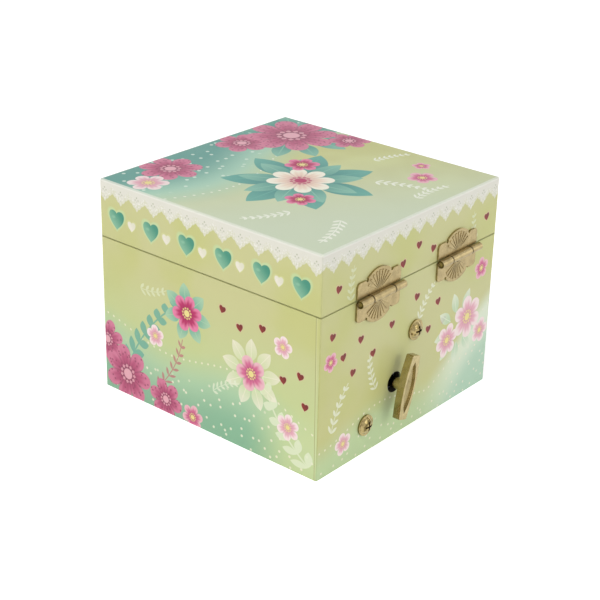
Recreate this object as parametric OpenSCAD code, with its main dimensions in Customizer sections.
// Musical jewellery box with a turning dancer, a key-wound movement and a hinged lid.
// Origin: centre of the underside. +Z up, +Y towards the hinges and the key, +X to the right from the front.

/* [Box] */
// Width of the box, side to side
box_w = 105; // [96:0.5:125]
// Depth of the box, front to back
box_d = 107; // [98:0.5:130]
// Height of the closed box
box_h = 86; // [84:0.5:100]
// Height of the lid, from the parting line to its top
lid_h = 22.8; // [18:0.1:26]
// Thickness of the wooden walls
wall = 3; // [2.4:0.1:3.6]
// Thickness of the lid's top board
lid_top_t = 3; // [2:0.1:4]
// Gap between the rim of the base and the lid
seam = 0.25; // [0.1:0.05:0.5]
// Rounding of the outer edges
edge_r = 0.6; // [0.3:0.1:1.2]
// Thickness of the bottom board
bottom_t = 2.5; // [2:0.1:4]
// Gap around boards that are let into the case
board_gap = 0.05; // [0.02:0.01:0.2]

/* [Interior] */
// Depth of the movement chamber behind the partition
chamber_d = 40; // [38:0.5:48]
// Gap between the movement and the underside of the stage
stage_gap = 1.1; // [0.8:0.1:3]
// Thickness of the stage board
stage_t = 2; // [1.6:0.1:2.2]
// Thickness of the partition between stage and compartment
partition_t = 2; // [1.5:0.1:3]
// Height of the partition over the underside
partition_top = 58; // [54:0.5:62]
// Width of the ledges under the stage
ledge_w = 4; // [3:0.1:5]
// Height of the ledges under the stage
ledge_h = 3; // [2:0.1:5]
// Thickness of the compartment's flocked lining
lining_t = 1.2; // [0.8:0.1:2]
// Gap around the lining
lining_gap = 0.3; // [0.2:0.05:0.6]
// Distance from the lining's rim down to the rim of the base
lining_drop = 3; // [1:0.1:8]
// Rounding of the lining's outer corners
lining_r = 2.5; // [2:0.1:6]

/* [Lid fittings] */
// Thickness of the lid's mirror
mirror_t = 1.2; // [0.8:0.1:2]
// Gap between the mirror and its frame
mirror_gap = 0.05; // [0.02:0.01:0.2]
// Width of the mirror frame's face
frame_w = 6; // [3:0.5:10]
// Thickness of the mirror frame
frame_t = 1.6; // [1.2:0.1:2.4]
// Width of the rebate in which the mirror lies
frame_rebate = 2; // [1:0.1:2.8]
// Width of the block that presses the stop plunger
striker_w = 9; // [7:0.5:12]
// Depth of the block that presses the stop plunger
striker_d = 8; // [6.5:0.5:12]

/* [Hinges] */
// Distance from the right side of the box to the middle of the right hinge
hinge_right_x = 30.9; // [20.5:0.1:33.5]
// Distance from the left side of the box to the middle of the left hinge
hinge_left_x = 26.5; // [20.5:0.1:34.5]
// Width of a hinge leaf
leaf_w = 24.5; // [20:0.5:28]
// Height of a leaf's shoulder over the hinge axis
leaf_h = 7.45; // [6:0.05:10]
// Thickness of a leaf
leaf_t = 0.8; // [0.6:0.05:0.9]
// Rounding of a leaf's shoulders
leaf_r = 1.6; // [0.8:0.1:3]
// Width of the shell-shaped lobe
lobe_w = 14; // [12:0.1:16]
// Rise of the lobe over the shoulder
lobe_h = 2.8; // [2:0.1:4]
// Radius of the notches beside the lobe
notch_r = 0.7; // [0.4:0.1:1]
// Number of ribs in the pressed shell
shell_ribs = 9; // [5:1:11]
// Height of the pressed ribs over the leaf
rib_h = 0.22; // [0.1:0.02:0.4]
// Diameter of the rolled barrel
knuckle_d = 3; // [2.6:0.1:3.6]
// Length of the barrel
knuckle_l = 25.2; // [22:0.1:28]
// Length of the middle knuckle
knuckle_mid_l = 12.2; // [8:0.1:14]
// Sideways offset of the barrel on its leaves
knuckle_shift = -0.6; // [-1:0.1:1]
// Gap between neighbouring knuckles
knuckle_gap = 0.3; // [0.05:0.05:0.4]
// Gap between the barrel and the back wall
knuckle_clear = 0.2; // [0.1:0.05:0.4]
// Height of the parting line over the hinge axis
hinge_drop = 0.85; // [0.4:0.05:1.2]
// Diameter of the hinge pin
pin_d = 1.4; // [1.2:0.1:1.8]
// Radial clearance of every pin, shaft and screw in its hole
run_fit = 0.05; // [0.02:0.01:0.08]
// Length of the prongs pressed into the wood
prong_l = 2; // [1:0.1:2.3]
// Width of a prong
prong_w = 1.2; // [0.8:0.1:2]
// Distance between the two prongs of a leaf
prong_pitch = 17; // [12:0.5:19]

/* [Winding key] */
// Sideways place of the key
key_x = 8.7; // [6:0.1:12]
// Height of the key over the underside
key_z = 22.5; // [21:0.1:23]
// Diameter of the hole in the back wall
keyhole_d = 8.1; // [6:0.1:10]
// Length of the key's grip
bow_l = 24.5; // [18:0.5:30]
// Width of the key's grip across its middle
bow_w = 6.9; // [6:0.1:9]
// Width of the key's grip across its ends
bow_end_w = 4.4; // [3:0.1:5.5]
// Thickness of the key's grip
bow_t = 3; // [2.5:0.1:4]
// Distance from the back wall to the grip
bow_off = 4; // [2.5:0.1:6]
// Length of the pointed recess in the grip
bow_recess_l = 20; // [12:0.1:22]
// Depth of the pointed recess
bow_recess = 0.7; // [0.3:0.1:1]
// Width of the rim beside the pointed recess
bow_rim = 0.9; // [0.6:0.1:1.5]
// Tilt of the grip from upright
bow_tilt = 15.9; // [0:0.1:90]
// Diameter of the key's stem
stem_d = 4.4; // [4:0.1:5.6]
// Depth to which the stem enters the case
stem_in = 2; // [1:0.1:2.3]

/* [Mounting screws] */
// Sideways distance from the key to the upper screw
upper_screw_dx = -11.1; // [-12:0.1:-10.5]
// Distance from the key up to the upper screw
upper_screw_dz = 17.4; // [17:0.1:19]
// Sideways distance from the key to the lower screw
lower_screw_dx = 16.9; // [15:0.1:19]
// Distance from the key down to the lower screw
lower_screw_dz = -10.9; // [-12:0.1:-10]
// Diameter of a screw's shank
screw_d = 3; // [2.5:0.1:3.5]
// Radial gap around the shank in the wooden wall
screw_gap = 0.3; // [0.1:0.05:0.6]
// Diameter of the flange under a screw's head
flange_d = 8; // [6:0.1:9]
// Thickness of the flange
flange_t = 0.7; // [0.4:0.1:1]
// Diameter of the domed head
dome_d = 6.4; // [5:0.1:7]
// Height of the domed head over its flange
dome_h = 1.7; // [1:0.1:2.4]
// Length of the cross recess in the head
cross_l = 3.6; // [2:0.1:4.4]
// Width of the cross recess
cross_w = 0.8; // [0.5:0.1:1.2]

/* [Movement] */
// Thickness of the bedplate
bed_t = 2.5; // [2:0.1:3]
// Reach of the bedplate past its outermost fixings
bed_margin = 5; // [4:0.1:5.5]
// Diameter of the bosses that take the mounting screws
boss_d = 6; // [5:0.1:6.4]
// Height of the bosses over the bedplate
boss_h = 3.5; // [2:0.5:6]
// Outer diameter of the spring barrel
barrel_d = 23; // [21:0.1:23.4]
// Depth of the spring barrel
barrel_h = 9.5; // [8:0.1:10]
// Wall of the spring barrel
barrel_wall = 0.6; // [0.4:0.1:1]
// Thickness of the barrel's cover
cover_t = 0.6; // [0.4:0.1:1]
// Number of turns of the mainspring
spring_turns = 7; // [4:1:8]
// Thickness of the mainspring's band
spring_t = 0.3; // [0.2:0.05:0.35]
// Gap between the mainspring and the barrel's ends
spring_gap = 0.4; // [0.2:0.1:1]
// Diameter of the winding arbor
arbor_d = 3; // [2.6:0.1:3.4]
// Diameter of the arbor's hub inside the barrel
hub_d = 5; // [4:0.1:6]
// Gap between the barrel's cover and the great wheel
wheel_gap = 0.6; // [0.4:0.1:1]
// Thickness of the great wheel's disc
wheel_t = 1.5; // [1:0.1:2]
// Number of teeth on the great wheel's rim
wheel_teeth = 24; // [24:1:24]
// Pitch radius of the great wheel
wheel_pitch_r = 10; // [9.8:0.1:10.2]
// Radial width of the great wheel's teeth
wheel_face = 2; // [1.6:0.1:2.2]
// Height of a tooth over its pitch circle
addendum = 0.75; // [0.6:0.05:0.8]
// Depth of a gap below the pitch circle
dedendum = 1.05; // [0.95:0.05:1.2]
// Share of the pitch that a tooth takes at its pitch circle
tooth_share = 0.4; // [0.34:0.01:0.42]
// Length of the clutch spring
clutch_l = 3.4; // [2.5:0.1:3.8]
// Diameter of the clutch spring's wire
clutch_wire = 0.5; // [0.4:0.05:0.6]
// Thickness of the cap that holds the clutch spring
clutch_cap_t = 0.7; // [0.5:0.1:1]

/* [Cylinder and comb] */
// Number of teeth on the small pinions
pinion_teeth = 8; // [8:1:8]
// Width of the small pinions
pinion_w = 3; // [2.6:0.1:3.2]
// Radius of the pinned cylinder
drum_r = 6.2; // [5.8:0.1:6.4]
// Length of the pinned cylinder
drum_l = 18; // [17.8:0.1:18.4]
// Number of notes
notes = 18; // [12:1:18]
// Distance from one note to the next
note_pitch = 0.96; // [0.85:0.01:0.98]
// Number of pins in each track
pins_per_note = 4; // [2:1:5]
// Height of a pin over the cylinder
pin_h = 0.5; // [0.3:0.05:0.6]
// Width of a pin
pin_w = 0.4; // [0.3:0.05:0.5]
// Diameter of the cylinder's arbor
shaft_d = 2; // [1.6:0.1:2.2]
// Thickness of the bearing brackets
bracket_t = 1; // [0.8:0.1:1]
// Width of the bearing brackets
bracket_w = 8; // [6:0.5:9]
// Gap between turning pieces and their brackets
side_gap = 0.4; // [0.3:0.05:0.5]
// Number of teeth on the cylinder's end wheel
end_teeth = 32; // [32:1:32]
// Pitch radius of the cylinder's end wheel
end_pitch_r = 6.4; // [6.4:0.1:6.6]
// Width of the cylinder's end wheel
end_w = 1.5; // [1.2:0.1:1.6]
// Height of a fine tooth over its pitch circle
fine_addendum = 0.36; // [0.3:0.01:0.4]
// Depth of a fine tooth's gap below its pitch circle
fine_dedendum = 0.52; // [0.45:0.01:0.6]
// Gap between the pins and the comb
comb_gap = 0.1; // [0.05:0.05:0.3]
// Thickness of the comb's plate
comb_t = 1.2; // [1:0.1:1.6]
// Thickness of the comb's teeth
comb_tooth_t = 0.5; // [0.4:0.05:0.7]
// Width of a comb tooth
comb_tooth_w = 0.7; // [0.5:0.02:0.74]
// Length of the longest comb tooth
comb_long = 9; // [7:0.1:9.4]
// Length of the shortest comb tooth
comb_short = 5.5; // [4:0.1:6.5]
// Height of the comb's solid plate
comb_base_h = 6; // [5:0.1:6.2]
// Diameter of the small fixing screws
small_screw_d = 1.6; // [1.4:0.1:1.8]
// Diameter of the small screws' heads
small_head_d = 3; // [2.6:0.1:3.2]
// Height of the small screws' heads
small_head_h = 1; // [0.8:0.1:1.2]
// Length of the small fixing screws under their heads
small_screw_l = 3; // [2.4:0.1:3]
// Thickness of the brackets' feet
foot_plate_t = 1.2; // [0.8:0.1:1.5]

/* [Governor] */
// Number of teeth on the governor wheel
governor_teeth = 24; // [24:1:24]
// Pitch radius of the governor wheel
governor_pitch_r = 6; // [6:0.1:6.1]
// Width of the governor wheel
governor_w = 1; // [0.8:0.1:1.1]
// Pitch radius of the worm
worm_pitch_r = 1.4; // [1.4:0.05:1.5]
// Radius of the worm's core
worm_core_r = 0.9; // [0.8:0.05:0.95]
// Length of the worm
worm_l = 9; // [7:0.5:10]
// Diameter of the fine shafts
fine_shaft_d = 1; // [0.8:0.1:1.2]
// Radius of the air brake's wings
fan_r = 4.2; // [3.5:0.1:4.3]
// Height of the air brake's wings
fan_h = 6; // [4:0.5:6.5]
// Thickness of the air brake's wings
fan_t = 0.5; // [0.4:0.1:0.8]
// Share of the pitch that the worm's thread and the governor wheel's teeth take
worm_share = 0.3; // [0.24:0.01:0.32]
// Radius of the disc that the stop plunger rests over
brake_r = 3.6; // [3.4:0.1:4]
// Thickness of that disc
brake_t = 0.8; // [0.6:0.1:1]
// Thickness of the governor's frame
cock_t = 1.5; // [1.2:0.1:1.8]
// Width of the governor frame's upper arm
cock_arm_w = 3.4; // [3:0.1:3.6]

/* [Dancer] */
// Radius of the turntable
table_r = 13; // [10:0.5:13.4]
// Thickness of the turntable
table_t = 1.5; // [1:0.1:2]
// Gap between the stage's bush and the turntable
table_gap = 0.3; // [0.2:0.05:0.5]
// Length of the spring under the dancer
dancer_spring_l = 3.6; // [2.5:0.1:4]
// Outer radius of the spring under the dancer
dancer_spring_r = 1.5; // [1.3:0.05:1.8]
// Diameter of the spring's wire
dancer_wire = 0.45; // [0.35:0.05:0.5]
// Gap between the dancer's hands and the mirror
head_room = 1.6; // [1:0.1:3]
// Length of the dancer's body
torso_l = 6.4; // [5.5:0.1:7]
// Radius of the dancer's head
head_r = 1.9; // [1.6:0.05:2.1]
// Radius of the circle in which the dancer's arms are held
arms_r = 4; // [3.6:0.1:4.2]
// Radius of the tutu
tutu_r = 9.5; // [7:0.1:10.5]
// Thickness of the tutu at its waist
tutu_t = 1.6; // [1:0.1:2.2]
// Outer radius of the bush in the stage
bush_r = 3; // [2.4:0.1:3.4]
// Width of the bush's flange
bush_rim = 1.2; // [0.8:0.1:1.6]
// Thickness of the bush's flange
bush_rim_t = 0.6; // [0.4:0.1:0.8]

/* [Stop plunger] */
// Gap between the left ledge and the plunger's collar
plunger_room = 0.4; // [0.2:0.1:0.8]
// Distance from the back wall to the plunger
plunger_in_y = 4.5; // [4:0.1:6]
// Diameter of the plunger's wire
plunger_d = 1.8; // [1.5:0.1:2]
// Distance that the plunger rises when the lid opens
plunger_rise = 3.5; // [2:0.1:3.6]
// Height of the plunger's arm over the governor's frame
arm_gap = 0.8; // [0.5:0.1:1]
// Gap between the plunger's tip and the air brake's disc
tip_gap = 0.3; // [0.1:0.05:0.5]
// Diameter of the collar on the plunger
collar_d = 4.4; // [3.8:0.1:5]
// Thickness of the collar
collar_t = 1; // [0.6:0.1:1.4]
// Width of the wooden guide under the plunger
guide_w = 9; // [8:0.5:11]
// Height of the guide's top over the underside
guide_top = 30; // [26:0.5:32]

/* [Hidden] */
$fn = 64;
// Overshoot of every cut past the face that it opens
over = 1;

// Case
back_out = box_d / 2;
back_in = back_out - wall;
in_x = box_w / 2 - wall;
in_y = box_d / 2 - wall;
parting_z = box_h - lid_h;
rim_z = parting_z - seam / 2;
lid_z = parting_z + seam / 2;
ceiling_z = box_h - lid_top_t;
mirror_z = ceiling_z - mirror_t;

// Mounting screws and bedplate, counted from the key's axis
screw_spots = [[upper_screw_dx, upper_screw_dz], [lower_screw_dx, lower_screw_dz]];
bed_y = back_in - bed_t;
bed_up = upper_screw_dz + bed_margin;
bed_down = bed_margin - lower_screw_dz;
bed_right = lower_screw_dx + bed_margin;

// Stage and partition
stage_under = key_z + bed_up + stage_gap;
stage_z = stage_under + stage_t;
chamber_y = back_in - chamber_d;
lining_y = chamber_y - partition_t - lining_gap;
lining_top = rim_z - lining_drop;

// Heights over the bedplate, towards the front of the box
spring_band = barrel_h - barrel_wall - 2 * spring_gap;
cover_h = barrel_h;
wheel_h = cover_h + cover_t + wheel_gap;
crown_h = wheel_h + wheel_t;
pinion_pitch_r = wheel_pitch_r * pinion_teeth / wheel_teeth;
axis_h = crown_h + dedendum + pinion_pitch_r;
spindle_y = bed_y - axis_h;

// Reach of the great wheel's pinions or of the barrel, whichever stands out further, and a gap
train_reach = max(wheel_pitch_r + pinion_w / 2, barrel_d / 2) + side_gap;

// Stations along the cylinder's arbor, counted from the key towards the governor
inner_bracket_x = -train_reach;
drum_x = inner_bracket_x - bracket_t - side_gap;
end_wheel_x = drum_x - drum_l - side_gap;
outer_bracket_x = end_wheel_x - end_w - side_gap;
worm_tip_r = worm_pitch_r + fine_addendum;
worm_x = outer_bracket_x - bracket_t - side_gap - worm_tip_r;
cock_x = worm_x - worm_tip_r - side_gap;
bed_left = cock_t + bed_margin - cock_x - small_head_d / 2;

// Governor: its wheel lies between the cylinder and the bedplate, its worm in front of the wheel
governor_pinion_r = end_pitch_r * pinion_teeth / end_teeth;
governor_h = axis_h - end_pitch_r - governor_pinion_r;
worm_h = governor_h + governor_pitch_r + worm_pitch_r;
worm_starts = 2;
worm_lead = worm_starts * 2 * PI * governor_pitch_r / governor_teeth;
cock_low = -governor_pitch_r - fine_addendum - side_gap;
fan_low = end_pitch_r + fine_addendum + 2 * side_gap;
brake_low = fan_low + fan_h;
cock_high = brake_low + brake_t + 2 * side_gap;
cock_top = cock_high + cock_t;

// Comb
comb_x = drum_x - drum_l / 2;
comb_tip = drum_r + pin_h + comb_gap;
comb_root = comb_tip + comb_long;
comb_back = axis_h + comb_tooth_t / 2 - comb_t;

// Spindle of the dancer
spindle_bracket_low = train_reach + side_gap;
table_z = stage_z + bush_rim_t + table_gap;
table_top = table_z + table_t;
figure_z = table_top + dancer_spring_l;
foot_t = 0.6;
neck_l = 0.7;
neck_r = 0.58;
bun_back = 0.45;
bun_up = 0.95;
hip_r = 1.75;
leg_side = 0.45;
ankle_r = 0.45;
thigh_r = 1.05;
arm_d = 0.9;
arm_joint_d = 1.17;
shoulder_x = 1.3;
tutu_drop = 0.7;

// The body's outline from the hips to the neck: radius, and height as a share of the body's length
torso_profile = [
  [0, 0], [1.7, 0], [1.75, 0.08], [1.25, 0.42], [1.35, 0.55], [1.85, 0.8], [1.7, 0.93], [0.62, 1]
];

// The arms' circle: its rise over the shoulders in shares of its radius, and each arm's first and last angle
arms_rise = 0.9;
arm_from = -40;
arm_to = 84;
shoulder_z = mirror_z - head_room - arms_r * (1 + arms_rise);
hip_z = shoulder_z - torso_l;

// Stop plunger
plunger_x = -in_x + ledge_w + plunger_room + collar_d / 2;
plunger_y = back_in - plunger_in_y;
striker_raise = 0.3;
plunger_clear = 0.1;
striker_z = lid_z + striker_raise;
plunger_top = striker_z - plunger_clear;
arm_z = key_z + cock_top + arm_gap + plunger_d / 2;
tip_y = bed_y - worm_h - fine_shaft_d - 2 * side_gap - plunger_d;
collar_z = arm_z - plunger_d / 2 - collar_t;

// Hinges
right_hinge = box_w / 2 - hinge_right_x;
left_hinge = hinge_left_x - box_w / 2;
hinge_off = knuckle_d / 2 + knuckle_clear;
hinge_y = back_out + hinge_off;
hinge_z = parting_z - hinge_drop;
leaf_front = hinge_off - leaf_t;
knuckle_room = sqrt(pow(knuckle_d / 2, 2) - pow(leaf_front, 2)) + knuckle_gap;

// Pressed ribs of a hinge: half the angle of their fan, where they start, and half their widths at both ends
rib_spread = 60;
rib_from = 1;
rib_root_w = 0.12;
rib_tip_w = 0.42;

// Share of a screw's dome that its cross recess is deep
cross_share = 0.6;

// Share of the grip's width that its corners are round
bow_corner = 0.28;

// Brim of the clutch's cap past its spring, and the turns of each coiled spring
cap_brim = 0.6;
clutch_turns = 5;
dancer_turns = 5;
plunger_turns = 7;

// Share of the dancer's spring that the spindle reaches into
spring_grip = 0.4;

// Small screws: width of the slot, and the brackets' margin around a head
slot_w = 0.4;
foot_edge = 0.5;

// Angle between the pins of one track and the next, and the further turn that sets every third pair apart
track_turn = 137.5;
pin_turn = 20;
pin_cycle = 3;

// Worm: flare of its thread at the root, steps in its thread and points along each side of its outline
worm_flare = 1.4;
worm_slices = 56;
worm_segments = 12;

// Steps of the mainspring in one turn
spring_steps = 20;

// Length of the plunger inside its guide, in plunger diameters
guide_grip = 3;

// Share by which a wire swells at a bend
bend_swell = 1.06;

// Share by which a tooth is wider at its root and narrower at its tip than at its pitch circle
root_flare = 1.15;
tip_taper = 0.5;

// ---- Helpers ----

// Radius of a hole in which a shaft of that diameter turns, and of one in which it is held
function running(d) = d / 2 + run_fit;
function pressed(d) = d / 2 + board_gap / 2;

// Box between two corners
module block(low, high) {
  translate(low) cube(high - low);
}

module rod_x(r, from, to, y = 0, z = 0) {
  translate([from, y, z]) rotate([0, 90, 0]) cylinder(r = r, h = to - from);
}

module rod_y(r, from, to, x = 0, z = 0) {
  translate([x, from, z]) rotate([-90, 0, 0]) cylinder(r = r, h = to - from);
}

module rod_z(r, from, to, x = 0, y = 0) {
  translate([x, y, from]) cylinder(r = r, h = to - from);
}

// Straight piece of round wire between two points
module straight(from, to, r) {
  run = to - from;
  length = norm(run);
  translate(from) rotate([0, acos(run.z / length), atan2(run.y, run.x)]) cylinder(r = r, h = length);
}

// The same with a rounded bend at its far end
module wire(from, to, r) {
  straight(from, to, r);
  translate(to) sphere(r * bend_swell);
}

// Rectangle with round corners, about the origin
module round_rect(w, d, r) {
  square([w - 2 * r, d], center = true);
  square([w, d - 2 * r], center = true);
  for (x = [-1, 1], y = [-1, 1]) translate([x * (w / 2 - r), y * (d / 2 - r)]) circle(r);
}

// Frame of the movement: origin where the key's axis meets the bedplate, Z away from the bedplate
module bench() {
  translate([key_x, bed_y, key_z]) rotate([90, 0, 0]) children();
}

// Frame of what is seen on the back wall: Z outwards
module on_back(x, z) {
  translate([x, back_out, z]) rotate([-90, 0, 0]) children();
}

function polar(r, a) = [r * cos(a), r * sin(a)];

// Outline of a toothed wheel with straight flanks; turn sets where the first tooth points
function gear_points(teeth, pitch_r, low, high, share, turn) = [
  for (i = [0 : teeth - 1], p = [
    [-low, -root_flare], [0, -1], [high, -tip_taper], [high, tip_taper], [0, 1], [-low, root_flare]
  ]) polar(pitch_r + p[0], i * 360 / teeth + turn + p[1] * share * 180 / teeth)
];

// Toothed wheel on the X axis from one station to another
module gear_x(points, from, to, bore_r, y = 0, z = 0) {
  translate([from, y, z]) rotate([0, 90, 0]) difference() {
    linear_extrude(to - from) polygon(points);
    translate([0, 0, -over]) cylinder(r = bore_r, h = to - from + 2 * over);
  }
}

// Points and faces of a round wire coiled about the Z axis
function coil_points(r, wire_r, length, turns, steps, sides) = [
  for (i = [0 : turns * steps], k = [0 : sides - 1])
    let (a = i * 360 / steps, b = k * 360 / sides, ring = r + wire_r * cos(b))
    [ring * cos(a), ring * sin(a), wire_r + (length - 2 * wire_r) * i / (turns * steps) + wire_r * sin(b)]
];

function coil_faces(rings, sides) = concat(
  [[for (k = [0 : sides - 1]) k]],
  [for (i = [0 : rings - 2], k = [0 : sides - 1])
    let (n = (k + 1) % sides) [i * sides + k, (i + 1) * sides + k, (i + 1) * sides + n, i * sides + n]],
  [[for (k = [sides - 1 : -1 : 0]) (rings - 1) * sides + k]]
);

module coil(outer_r, wire_d, length, turns, steps = 14, sides = 6) {
  polyhedron(
    coil_points(outer_r - wire_d / 2, wire_d / 2, length, turns, steps, sides),
    coil_faces(turns * steps + 1, sides)
  );
}

// ---- Case ----

module base_case() {
  color("#c9ca88") difference() {
    linear_extrude(rim_z) round_rect(box_w, box_d, edge_r);
    block([-in_x, -in_y, -over], [in_x, in_y, rim_z + over]);
    rod_y(keyhole_d / 2, back_in - over, back_out + over, key_x, key_z);
    for (s = screw_spots)
      rod_y(screw_d / 2 + screw_gap, back_in - over, back_out + over, key_x + s.x, key_z + s.y);
    for (x = [left_hinge, right_hinge]) at_hinge(x) mirror([0, 0, 1]) prongs(run_fit);
  }
}

module bottom_board() {
  color("#b58b5a")
    block([-in_x + board_gap, -in_y + board_gap, 0], [in_x - board_gap, in_y - board_gap, bottom_t]);
}

module partition() {
  color("#d8a0b4")
    block([-in_x + board_gap, chamber_y - partition_t, bottom_t],
          [in_x - board_gap, chamber_y, partition_top]);
}

module stage_board() {
  color("#d8a0b4") difference() {
    block([-in_x + board_gap, chamber_y + board_gap, stage_under],
          [in_x - board_gap, back_in - board_gap, stage_z]);
    rod_z(bush_r + run_fit, stage_under - over, stage_z + over, key_x, spindle_y);
    rod_z(plunger_d + run_fit, stage_under - over, stage_z + over, plunger_x, plunger_y);
  }
}

module stage_ledge() {
  color("#b58b5a")
    block([in_x - ledge_w, chamber_y + board_gap, stage_under - ledge_h], [in_x, back_in, stage_under]);
}

module compartment_lining() {
  w = 2 * (in_x - lining_gap);
  d = lining_y + in_y - lining_gap;
  color("#c65a86") translate([0, lining_y - d / 2, bottom_t]) difference() {
    linear_extrude(lining_top - bottom_t) round_rect(w, d, lining_r);
    translate([0, 0, lining_t]) linear_extrude(lining_top - bottom_t)
      round_rect(w - 2 * lining_t, d - 2 * lining_t, lining_r - lining_t + board_gap);
  }
}

// ---- Hinges ----

module at_hinge(x) {
  translate([x, hinge_y, hinge_z]) children();
}

// Shell-shaped leaf seen from behind the box, from the hinge axis upwards
module leaf_outline() {
  lobe_r = (pow(lobe_w / 2, 2) + pow(lobe_h, 2)) / (2 * lobe_h);
  difference() {
    union() {
      translate([-leaf_w / 2, 0]) square([leaf_w, leaf_h - leaf_r]);
      translate([leaf_r - leaf_w / 2, 0]) square([leaf_w - 2 * leaf_r, leaf_h]);
      for (side = [-1, 1]) translate([side * (leaf_w / 2 - leaf_r), leaf_h - leaf_r]) circle(leaf_r);
      intersection() {
        translate([0, leaf_h + lobe_h - lobe_r]) circle(lobe_r);
        translate([-lobe_w / 2, 0]) square([lobe_w, leaf_h + lobe_h]);
      }
    }
    for (side = [-1, 1]) translate([side * lobe_w / 2, leaf_h]) circle(notch_r);
  }
}

// Ribs that fan out from the foot of the shell
module shell_fan() {
  fan_low_z = knuckle_room + knuckle_gap;
  intersection() {
    leaf_outline();
    translate([0, fan_low_z]) for (i = [0 : shell_ribs - 1])
      rotate(rib_spread * (2 * i / (shell_ribs - 1) - 1)) polygon([
        [-rib_root_w, rib_from], [rib_root_w, rib_from], [rib_tip_w, leaf_h], [-rib_tip_w, leaf_h]
      ]);
  }
}

module prongs(gap) {
  low = leaf_h / 2;
  for (side = [-1, 1]) translate([side * prong_pitch / 2, 0, low])
    block([-prong_w / 2 - gap, -hinge_off - prong_l - gap, -leaf_t / 2 - gap],
          [prong_w / 2 + gap, -hinge_off, leaf_t / 2 + gap]);
}

module leaf(cut_from, cut_to) {
  difference() {
    translate([0, leaf_t - hinge_off, 0]) rotate([90, 0, 0]) linear_extrude(leaf_t) leaf_outline();
    for (i = [0 : len(cut_from) - 1])
      block([cut_from[i], -hinge_off - over, -over], [cut_to[i], hinge_off, knuckle_room]);
  }
  translate([0, leaf_t - hinge_off + rib_h, 0]) rotate([90, 0, 0]) linear_extrude(rib_h) shell_fan();
  prongs(0);
}

module knuckle(from, to) {
  difference() {
    rod_x(knuckle_d / 2, from, to);
    rod_x(running(pin_d), from - over, to + over);
  }
}

knuckle_from = knuckle_shift - knuckle_l / 2;
knuckle_to = knuckle_shift + knuckle_l / 2;
mid_from = knuckle_shift - knuckle_mid_l / 2;
mid_to = knuckle_shift + knuckle_mid_l / 2;

module hinge_base_leaf(x) {
  color("#a8956a") at_hinge(x) {
    mirror([0, 0, 1]) leaf([mid_from - knuckle_gap], [mid_to + knuckle_gap]);
    knuckle(knuckle_from, mid_from - knuckle_gap);
    knuckle(mid_to + knuckle_gap, knuckle_to);
  }
}

module hinge_lid_leaf(x) {
  color("#a8956a") at_hinge(x) {
    leaf([-leaf_w / 2 - over, mid_to], [mid_from, leaf_w / 2 + over]);
    knuckle(mid_from, mid_to);
  }
}

module hinge_pin(x) {
  color("#8d7a4e") at_hinge(x) rod_x(pin_d / 2, knuckle_from + run_fit, knuckle_to - knuckle_gap);
}

// ---- Mounting screws ----

module mounting_screws() {
  dome_r = (pow(dome_d / 2, 2) + pow(dome_h, 2)) / (2 * dome_h);
  cross_depth = dome_h * cross_share;
  color("#b79a55") for (s = screw_spots) on_back(key_x + s.x, key_z + s.y) {
    cylinder(d = flange_d, h = flange_t);
    translate([0, 0, -wall - bed_t - boss_h]) cylinder(d = screw_d, h = wall + bed_t + boss_h);
    difference() {
      intersection() {
        translate([0, 0, flange_t + dome_h - dome_r]) sphere(dome_r);
        translate([0, 0, flange_t / 2]) cylinder(d = dome_d, h = dome_h + flange_t);
      }
      for (turn = [0, 90])
        rotate(turn) translate([-cross_l / 2, -cross_w / 2, flange_t + dome_h - cross_depth])
        cube([cross_l, cross_w, dome_h]);
    }
  }
}

// ---- Movement: bedplate, spring barrel and winding train ----

module bedplate() {
  comb_w = notes * note_pitch;
  color("#9aa0a4") bench() difference() {
    union() {
      block([-bed_left, -bed_down, -bed_t], [bed_right, bed_up, 0]);
      for (s = screw_spots) translate([s.x, s.y, 0]) cylinder(d = boss_d, h = boss_h);
      translate([comb_x, 0, 0])
        block([-comb_w / 2, comb_root, 0], [comb_w / 2, comb_root + comb_base_h, comb_back]);
    }
    for (s = screw_spots) translate([s.x, s.y, -bed_t - over])
      cylinder(r = running(screw_d), h = bed_t + boss_h + 2 * over);
    translate([0, 0, -bed_t - over]) cylinder(r = running(arbor_d), h = bed_t + 2 * over);
    comb_screw_spots() translate([0, 0, comb_back - small_screw_l])
      cylinder(r = running(small_screw_d), h = small_screw_l + over);
    bracket_screw_spots() translate([0, 0, -bed_t - over])
      cylinder(r = running(small_screw_d), h = bed_t + 2 * over);
  }
}

module spring_barrel() {
  color("#c4c6c8") bench() difference() {
    cylinder(d = barrel_d, h = barrel_h);
    translate([0, 0, barrel_wall]) cylinder(r = barrel_d / 2 - barrel_wall, h = barrel_h);
    translate([0, 0, -over]) cylinder(r = running(arbor_d), h = barrel_wall + 2 * over);
  }
}

module barrel_cover() {
  color("#b5b7ba") bench() translate([0, 0, cover_h]) difference() {
    cylinder(d = barrel_d, h = cover_t);
    translate([0, 0, -over]) cylinder(r = running(arbor_d), h = cover_t + 2 * over);
  }
}

module mainspring() {
  inner = hub_d / 2 + spring_gap;
  outer = barrel_d / 2 - barrel_wall - spring_t;
  last = spring_turns * spring_steps;
  edge = function (i, t) polar(inner + (outer - inner) * i / last + t, i * 360 / spring_steps);
  color("#6d7277") bench() translate([0, 0, barrel_wall + spring_gap]) linear_extrude(spring_band)
    polygon([for (i = [0 : last]) edge(i, 0), for (i = [last : -1 : 0]) edge(i, spring_t)]);
}

module winding_arbor() {
  top = crown_h + clutch_l + clutch_cap_t;
  low = -bed_t - wall - bow_off / 2;
  color("#c9b06a") bench() {
    translate([0, 0, low]) cylinder(d = arbor_d, h = top - low);
    translate([0, 0, barrel_wall + spring_gap]) cylinder(d = hub_d, h = spring_band);
  }
}

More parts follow.
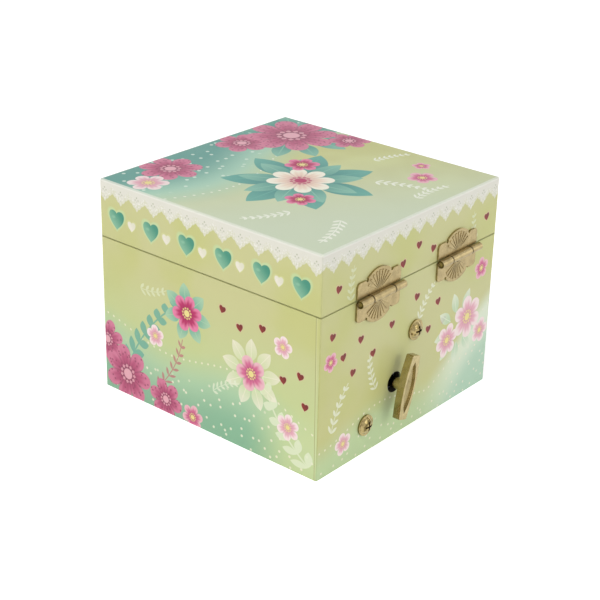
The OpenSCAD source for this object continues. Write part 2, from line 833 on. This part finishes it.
module great_wheel() {
  // Half widths of a tooth at its root, pitch plane and tip
  half = PI * wheel_pitch_r / wheel_teeth * tooth_share;
  color("#d9b75c") bench() difference() {
    union() {
      translate([0, 0, wheel_h]) cylinder(r = wheel_pitch_r + wheel_face / 2, h = wheel_t);
      for (i = [0 : wheel_teeth - 1])
        rotate(i * 360 / wheel_teeth) translate([wheel_pitch_r - wheel_face / 2, 0, crown_h])
        rotate([90, 0, 90]) linear_extrude(wheel_face - board_gap) polygon([
          [-half * root_flare, -wheel_t / 2], [half * root_flare, -wheel_t / 2], [half * root_flare, 0],
          [half, dedendum], [half * tip_taper, dedendum + addendum],
          [-half * tip_taper, dedendum + addendum], [-half, dedendum], [-half * root_flare, 0]
        ]);
    }
    translate([0, 0, wheel_h - over]) cylinder(r = pressed(arbor_d), h = wheel_t + 2 * over);
  }
}

module clutch_spring() {
  color("#8a8f93") bench() translate([0, 0, crown_h + run_fit])
    coil(running(arbor_d) + clutch_wire, clutch_wire, clutch_l - 2 * run_fit, clutch_turns);
}

module clutch_cap() {
  color("#c9b06a") bench() translate([0, 0, crown_h + clutch_l]) difference() {
    cylinder(r = arbor_d / 2 + clutch_wire + cap_brim, h = clutch_cap_t);
    translate([0, 0, -over]) cylinder(r = pressed(arbor_d), h = clutch_cap_t + 2 * over);
  }
}

// Shape between two arcs that rise by that much over half its length
module almond(half_w, half_l, rise) {
  arc_r = (pow(half_l, 2) + pow(rise, 2)) / (2 * rise);
  intersection() {
    translate([arc_r - half_w, 0]) circle(arc_r);
    translate([half_w - arc_r, 0]) circle(arc_r);
  }
}

module winding_key() {
  lens = bow_w / 2 - bow_rim;
  color("#cbb277") on_back(key_x, key_z) difference() {
    union() {
      translate([0, 0, bow_off]) rotate(-bow_tilt) linear_extrude(bow_t) intersection() {
        round_rect(bow_w, bow_l, bow_w * bow_corner);
        almond(bow_w / 2, bow_l / 2, (bow_w - bow_end_w) / 2);
      }
      translate([0, 0, -stem_in]) cylinder(d = stem_d, h = stem_in + bow_off + bow_t / 2);
    }
    rotate(-bow_tilt) translate([0, 0, bow_off + bow_t - bow_recess]) linear_extrude(bow_recess + over)
      almond(lens, bow_recess_l / 2, lens);
    translate([0, 0, -stem_in - over])
      cylinder(r = pressed(arbor_d), h = stem_in + over + bow_off / 2 + board_gap);
  }
}

// ---- Movement: brackets and their screws ----

bracket_half = bracket_w / 2;
foot_w = small_head_d + 2 * foot_edge;
cock_foot_high = cock_top - foot_w;

// Where the small screws stand on the bedplate
module bracket_screw_spots() {
  for (x = [drum_x - foot_w / 2, outer_bracket_x + foot_w / 2])
    translate([x, -bracket_half - foot_w / 2, 0]) children();
  translate([0, spindle_bracket_low + cock_t + foot_w / 2, 0]) children();
  translate([cock_x - cock_t + small_head_d, cock_foot_high, 0]) children();
}

module comb_screw_spots() {
  for (side = [-1, 1])
    translate([comb_x + side * notes * note_pitch / 3, comb_root + comb_base_h / 2, 0]) children();
}

module small_screw(grip) {
  translate([0, 0, -small_screw_l + grip]) cylinder(d = small_screw_d, h = small_screw_l + small_head_h / 2);
  translate([0, 0, grip]) difference() {
    cylinder(d = small_head_d, h = small_head_h);
    translate([-small_head_d, -slot_w / 2, small_head_h / 2]) cube([2 * small_head_d, slot_w, small_head_h]);
  }
}

module comb_screws() {
  color("#c0c2c4") bench() comb_screw_spots() translate([0, 0, comb_back + comb_t]) small_screw(0);
}

module bracket_screws() {
  color("#c0c2c4") bench() bracket_screw_spots() small_screw(foot_plate_t);
}

module screw_through() {
  translate([0, 0, -over]) cylinder(r = running(small_screw_d), h = foot_plate_t + 2 * over);
}

// Upright plate with a bearing for the cylinder's arbor and a foot on the bedplate
module cylinder_bracket(x, foot_side) {
  difference() {
    union() {
      block([x - bracket_t, -bracket_half - foot_w, 0], [x, bracket_half, governor_h]);
      block([x - bracket_t, -bracket_half, governor_h], [x, bracket_half, axis_h]);
      rod_x(bracket_half, x - bracket_t, x, 0, axis_h);
      block([min(x - bracket_t, x + foot_side * foot_w), -bracket_half - foot_w, 0],
            [max(x, x - bracket_t + foot_side * foot_w), -bracket_half, foot_plate_t]);
    }
    rod_x(running(shaft_d), x - bracket_t - over, x + over, 0, axis_h);
    children();
    bracket_screw_spots() screw_through();
  }
}

module cylinder_bracket_inner() {
  color("#b9bcbf") bench() cylinder_bracket(inner_bracket_x, -1);
}

module cylinder_bracket_outer() {
  color("#b9bcbf") bench() cylinder_bracket(outer_bracket_x, 1)
    rod_x(running(fine_shaft_d), outer_bracket_x - bracket_t - over, outer_bracket_x + over, 0, governor_h);
}

// C-shaped cock that carries both ends of the worm's shaft and the end of the governor's arbor
module governor_cock() {
  inner_x = worm_x + cock_arm_w / 2;
  outer_x = cock_x - cock_t;
  side_h = worm_h - fan_r - 2 * side_gap;
  reach = worm_h + fine_shaft_d;
  color("#a7abae") bench() difference() {
    union() {
      block([outer_x, cock_low - cock_t, 0], [cock_x, cock_top, side_h]);
      block([outer_x, cock_high, 0], [inner_x, cock_top, reach]);
      block([outer_x, cock_low - cock_t, 0], [inner_x, cock_low, reach]);
      block([outer_x, cock_foot_high - foot_w / 2, 0],
            [cock_x + foot_w, cock_foot_high + foot_w / 2, foot_plate_t]);
    }
    rod_y(running(fine_shaft_d), cock_low - cock_t - over, cock_top + over, worm_x, worm_h);
    rod_x(running(fine_shaft_d), outer_x - over, cock_x + over, 0, governor_h);
    bracket_screw_spots() screw_through();
  }
}

// Angle that guides the dancer's spindle below the stage
module spindle_bracket() {
  half = bracket_half;
  color("#b9bcbf") bench() difference() {
    union() {
      block([-half, spindle_bracket_low, 0], [half, spindle_bracket_low + cock_t, axis_h]);
      rod_y(half, spindle_bracket_low, spindle_bracket_low + cock_t, 0, axis_h);
      block([-half, spindle_bracket_low, 0], [half, spindle_bracket_low + cock_t + foot_w, foot_plate_t]);
    }
    rod_y(running(shaft_d), spindle_bracket_low - over, spindle_bracket_low + cock_t + over, 0, axis_h);
    bracket_screw_spots() screw_through();
  }
}

// ---- Movement: comb and pinned cylinder ----

// Steel comb: one tooth for each note, the low notes with the longest teeth
module comb() {
  comb_w = notes * note_pitch;
  color("#8e959a") bench() translate([comb_x, 0, 0]) difference() {
    union() {
      block([-comb_w / 2, comb_root, comb_back], [comb_w / 2, comb_root + comb_base_h, comb_back + comb_t]);
      for (i = [0 : notes - 1]) {
        x = (i - (notes - 1) / 2) * note_pitch;
        root = comb_tip + comb_long - (comb_long - comb_short) * i / (notes - 1);
        block([x - comb_tooth_w / 2, comb_tip, axis_h - comb_tooth_t / 2],
              [x + comb_tooth_w / 2, root, axis_h + comb_tooth_t / 2]);
      }
      translate([0, 0, comb_back]) linear_extrude(comb_t) polygon([
        [-comb_w / 2, comb_root], [comb_w / 2, comb_root], [comb_w / 2, comb_tip + comb_short]
      ]);
    }
    for (side = [-1, 1]) translate([side * comb_w / 3, comb_root + comb_base_h / 2, comb_back - over])
      cylinder(r = running(small_screw_d), h = comb_t + 2 * over);
  }
}

// Brass cylinder; every track's pins follow one rule, so that no two tracks play alike
module music_cylinder() {
  color("#d2b05c") bench() difference() {
    union() {
      rod_x(drum_r, drum_x - drum_l, drum_x, 0, axis_h);
      for (i = [0 : notes - 1], j = [0 : pins_per_note - 1])
        translate([comb_x + (i - (notes - 1) / 2) * note_pitch, 0, axis_h])
          rotate([i * track_turn + j * 360 / pins_per_note + pin_turn * ((i * j) % pin_cycle), 0, 0])
            block([-pin_w / 2, -pin_w / 2, drum_r - pin_h], [pin_w / 2, pin_w / 2, drum_r + pin_h]);
    }
    rod_x(pressed(shaft_d), drum_x - drum_l - over, drum_x + over, 0, axis_h);
  }
}

module cylinder_arbor() {
  color("#9ea3a7") bench()
    rod_x(shaft_d / 2, outer_bracket_x - bracket_t - side_gap / 2, pinion_w / 2 - wheel_pitch_r + side_gap, 0,
          axis_h);
}

module cylinder_pinion() {
  points = gear_points(pinion_teeth, pinion_pitch_r, dedendum, addendum, tooth_share, 180 / pinion_teeth);
  color("#d9b75c") bench()
    gear_x(points, -wheel_pitch_r - pinion_w / 2, pinion_w / 2 - wheel_pitch_r, pressed(shaft_d), 0, axis_h);
}

module cylinder_end_wheel() {
  points = gear_points(end_teeth, end_pitch_r, fine_dedendum, fine_addendum, tooth_share, 0);
  color("#d9b75c") bench()
    gear_x(points, end_wheel_x - end_w, end_wheel_x, pressed(shaft_d), 0, axis_h);
}

// ---- Movement: governor ----

module governor_arbor() {
  color("#9ea3a7") bench() rod_x(fine_shaft_d / 2, cock_x - cock_t, end_wheel_x, 0, governor_h);
}

module governor_pinion() {
  half_step = 180 / pinion_teeth;
  points = gear_points(pinion_teeth, governor_pinion_r, fine_dedendum, fine_addendum, tooth_share, half_step);
  color("#d9b75c") bench()
    gear_x(points, end_wheel_x - end_w, end_wheel_x, pressed(fine_shaft_d), 0, governor_h);
}

module governor_wheel() {
  points = gear_points(governor_teeth, governor_pitch_r, fine_dedendum, fine_addendum, worm_share, 0);
  color("#e8e4d8") bench()
    gear_x(points, worm_x - governor_w / 2, worm_x + governor_w / 2, pressed(fine_shaft_d), 0, governor_h);
}

// Right-handed two-start worm, with a gap facing the governor wheel at half its length
module worm_shaft() {
  turn = -360 * worm_l / worm_lead;
  half = worm_share * 180 / worm_starts;
  flank = 360 / worm_starts;
  outline = [for (i = [0 : worm_starts - 1], p = [
    [worm_core_r, -half * worm_flare], [worm_tip_r, -half * tip_taper], [worm_tip_r, half * tip_taper],
    [worm_core_r, half * worm_flare], [worm_core_r, 0.4 * flank], [worm_core_r, 0.6 * flank]
  ]) polar(p[0], p[1] + i * 360 / worm_starts)];
  color("#cfae5a") bench() translate([worm_x, 0, worm_h]) rotate([-90, 0, 0]) {
    rotate(turn / 2)
      linear_extrude(worm_l, twist = turn, slices = worm_slices, segments = worm_segments, center = true)
      polygon(outline);
    translate([0, 0, cock_low - cock_t]) cylinder(d = fine_shaft_d, h = cock_top - cock_low + cock_t);
  }
}

// Two-winged air brake with the disc that the stop plunger rests over
module air_brake() {
  color("#e8e4d8") bench() translate([worm_x, 0, worm_h]) rotate([-90, 0, 0]) difference() {
    union() {
      translate([-fan_r, -fan_t / 2, fan_low]) cube([2 * fan_r, fan_t, fan_h]);
      translate([0, 0, fan_low]) cylinder(r = fine_shaft_d / 2 + fan_t, h = fan_h);
      translate([0, 0, brake_low]) cylinder(r = brake_r, h = brake_t);
    }
    translate([0, 0, fan_low - over]) cylinder(r = pressed(fine_shaft_d), h = fan_h + brake_t + 2 * over);
  }
}

// ---- Dancer ----

module dancer_spindle() {
  low = key_z + wheel_pitch_r - pinion_w / 2 - side_gap;
  collar = key_z + spindle_bracket_low + cock_t + run_fit;
  color("#9ea3a7") {
    rod_z(shaft_d / 2, low, table_top + dancer_spring_l * spring_grip, key_x, spindle_y);
    rod_z(shaft_d, collar, collar + shaft_d / 2, key_x, spindle_y);
  }
}

module spindle_pinion() {
  points = gear_points(pinion_teeth, pinion_pitch_r, dedendum, addendum, tooth_share,
                       90 + 180 / pinion_teeth);
  color("#e8e4d8") translate([key_x, spindle_y, key_z + wheel_pitch_r - pinion_w / 2]) difference() {
    linear_extrude(pinion_w) polygon(points);
    translate([0, 0, -over]) cylinder(r = pressed(shaft_d), h = pinion_w + 2 * over);
  }
}

module stage_bush() {
  color("#cfae5a") translate([key_x, spindle_y, 0]) difference() {
    union() {
      rod_z(bush_r, stage_under, stage_z + bush_rim_t);
      rod_z(bush_r + bush_rim, stage_z, stage_z + bush_rim_t);
    }
    rod_z(running(shaft_d), stage_under - over, stage_z + bush_rim_t + over);
  }
}

// Turntable with a rounded rim
module turntable() {
  color("#f1e7ea") translate([key_x, spindle_y, table_z]) difference() {
    rotate_extrude() {
      square([table_r - table_t / 2, table_t]);
      translate([table_r - table_t / 2, table_t / 2]) intersection() {
        circle(table_t / 2);
        translate([0, -table_t]) square([table_t, 2 * table_t]);
      }
    }
    translate([0, 0, -over]) cylinder(r = pressed(shaft_d), h = table_t + 2 * over);
  }
}

module dancer_spring() {
  color("#c8cacc") translate([key_x, spindle_y, table_top + board_gap])
    coil(dancer_spring_r, dancer_wire, dancer_spring_l - 2 * board_gap, dancer_turns);
}

// Dancer on the points of her toes with her arms rounded over her head
module dancer_figure() {
  leg_l = hip_z - figure_z - foot_t;
  head_z = shoulder_z + neck_l + head_r;
  arms_z = shoulder_z + arms_r * arms_rise;
  color("#f0cdb8") translate([key_x, spindle_y, 0]) {
    rod_z(dancer_spring_r, figure_z, figure_z + foot_t);
    for (side = [-1, 1]) translate([side * leg_side, 0, figure_z + foot_t / 2])
      cylinder(r1 = ankle_r, r2 = thigh_r, h = leg_l + foot_t);
    // Body: hips, waist, chest and neck in one revolve
    translate([0, 0, hip_z]) rotate_extrude() polygon([
      for (p = torso_profile) [p[0], p[1] * torso_l],
      [neck_r, torso_l + neck_l + head_r / 2], [0, torso_l + neck_l + head_r / 2]
    ]);
    translate([0, 0, head_z]) sphere(head_r);
    translate([0, bun_back * head_r, head_z + bun_up * head_r]) sphere(head_r / 2);
    for (side = [-1, 1]) {
      shoulder = [side * shoulder_x, 0, shoulder_z - arm_d];
      translate(shoulder) sphere(d = arm_joint_d);
      wire(shoulder, [side * arms_r * cos(arm_from), 0, arms_z + arms_r * sin(arm_from)], arm_d / 2);
    }
    translate([0, 0, arms_z]) rotate([90, 0, 0]) for (side = [0, 1]) mirror([side, 0, 0]) rotate(arm_from)
      rotate_extrude(angle = arm_to - arm_from) translate([arms_r, 0]) circle(d = arm_d);
  }
}

// Flared skirt, closed underneath
module dancer_tutu() {
  waist_r = hip_r + lining_gap;
  color("#f2b8cc") translate([key_x, spindle_y, hip_z]) rotate_extrude() polygon([
    [waist_r, 0], [tutu_r, tutu_t * tutu_drop], [tutu_r, tutu_t], [waist_r, tutu_t]
  ]);
}

// ---- Stop plunger ----

module stop_plunger() {
  r = plunger_d / 2;
  low = guide_top - guide_grip * plunger_d;
  tip = [key_x + worm_x, tip_y, key_z + brake_low + brake_t + tip_gap];
  color("#b8bbbe") {
    rod_z(r, low, plunger_top, plunger_x, plunger_y);
    straight([plunger_x, plunger_y, arm_z], [tip.x, tip.y, arm_z], r - board_gap);
    rod_z(r, tip.z, arm_z + r, tip.x, tip.y);
    rod_z(collar_d / 2, collar_z, collar_z + collar_t, plunger_x, plunger_y);
  }
}

module plunger_spring() {
  color("#8a8f93") translate([plunger_x, plunger_y, guide_top + board_gap])
    coil(collar_d / 2 - board_gap, dancer_wire, collar_z - guide_top - 2 * board_gap, plunger_turns);
}

module plunger_guide() {
  bore_low = guide_top - (guide_grip + 1) * plunger_d - plunger_rise;
  color("#b58b5a") difference() {
    block([-in_x + board_gap, back_in - guide_w, bottom_t],
          [-in_x + guide_w, back_in - board_gap, guide_top]);
    rod_z(running(plunger_d), bore_low, guide_top + over, plunger_x, plunger_y);
  }
}

module plunger_bush() {
  color("#cfae5a") translate([plunger_x, plunger_y, 0]) difference() {
    union() {
      rod_z(plunger_d, stage_under, stage_z + bush_rim_t);
      rod_z(plunger_d + bush_rim, stage_z, stage_z + bush_rim_t);
    }
    rod_z(running(plunger_d), stage_under - over, stage_z + bush_rim_t + over);
  }
}

// ---- Lid ----

// Block whose upper edges and upright edges are rounded
module soft_top(w, d, low, high, r) {
  translate([0, 0, low]) linear_extrude(high - r - low) round_rect(w, d, r);
  block([r - w / 2, r - d / 2, low], [w / 2 - r, d / 2 - r, high]);
  for (side = [-1, 1]) {
    rod_x(r, r - w / 2, w / 2 - r, side * (d / 2 - r), high - r);
    rod_y(r, r - d / 2, d / 2 - r, side * (w / 2 - r), high - r);
    for (x = [-1, 1]) translate([x * (w / 2 - r), side * (d / 2 - r), high - r]) sphere(r);
  }
}

module lid_case() {
  color("#c9ca88") difference() {
    soft_top(box_w, box_d, lid_z, box_h, edge_r);
    block([-in_x, -in_y, lid_z - over], [in_x, in_y, ceiling_z]);
    for (x = [left_hinge, right_hinge]) at_hinge(x) prongs(run_fit);
  }
}

module lid_mirror() {
  w = in_x - frame_w + frame_rebate;
  d = in_y - frame_w + frame_rebate;
  color("#dfe7ea") block([-w, -d, mirror_z], [w, d, ceiling_z]);
}

module mirror_frame() {
  w = in_x - board_gap;
  d = in_y - board_gap;
  low = ceiling_z - frame_t;
  rebate = frame_w - frame_rebate - mirror_gap;
  color("#e3a9bb") difference() {
    block([-w, -d, low], [w, d, ceiling_z]);
    block([frame_w - w, frame_w - d, low - over], [w - frame_w, d - frame_w, ceiling_z + over]);
    block([rebate - w, rebate - d, mirror_z - mirror_gap], [w - rebate, d - rebate, ceiling_z + over]);
  }
}

module lid_striker() {
  color("#b58b5a")
    block([-in_x, back_in - striker_d, striker_z], [-in_x + striker_w, back_in, ceiling_z - frame_t]);
}

base_case();
bottom_board();
partition();
stage_board();
mirror([1, 0, 0]) stage_ledge();  // stage_ledge_left
stage_ledge();  // stage_ledge_right
compartment_lining();
hinge_base_leaf(left_hinge);  // hinge_base_leaf_left
hinge_base_leaf(right_hinge);  // hinge_base_leaf_right
hinge_pin(left_hinge);  // hinge_pin_left
hinge_pin(right_hinge);  // hinge_pin_right
mounting_screws();
bedplate();
spring_barrel();
barrel_cover();
mainspring();
comb();
comb_screws();
cylinder_bracket_inner();
cylinder_bracket_outer();
governor_cock();
spindle_bracket();
bracket_screws();
stage_bush();
plunger_bush();
plunger_guide();
lid_case();
lid_mirror();
mirror_frame();
hinge_lid_leaf(left_hinge);  // hinge_lid_leaf_left
hinge_lid_leaf(right_hinge);  // hinge_lid_leaf_right
lid_striker();
winding_key();
winding_arbor();
great_wheel();
clutch_spring();
clutch_cap();
music_cylinder();
cylinder_arbor();
cylinder_pinion();
cylinder_end_wheel();
governor_arbor();
governor_wheel();
governor_pinion();
worm_shaft();
air_brake();
dancer_spindle();
spindle_pinion();
turntable();
dancer_spring();
dancer_figure();
dancer_tutu();
stop_plunger();
plunger_spring();
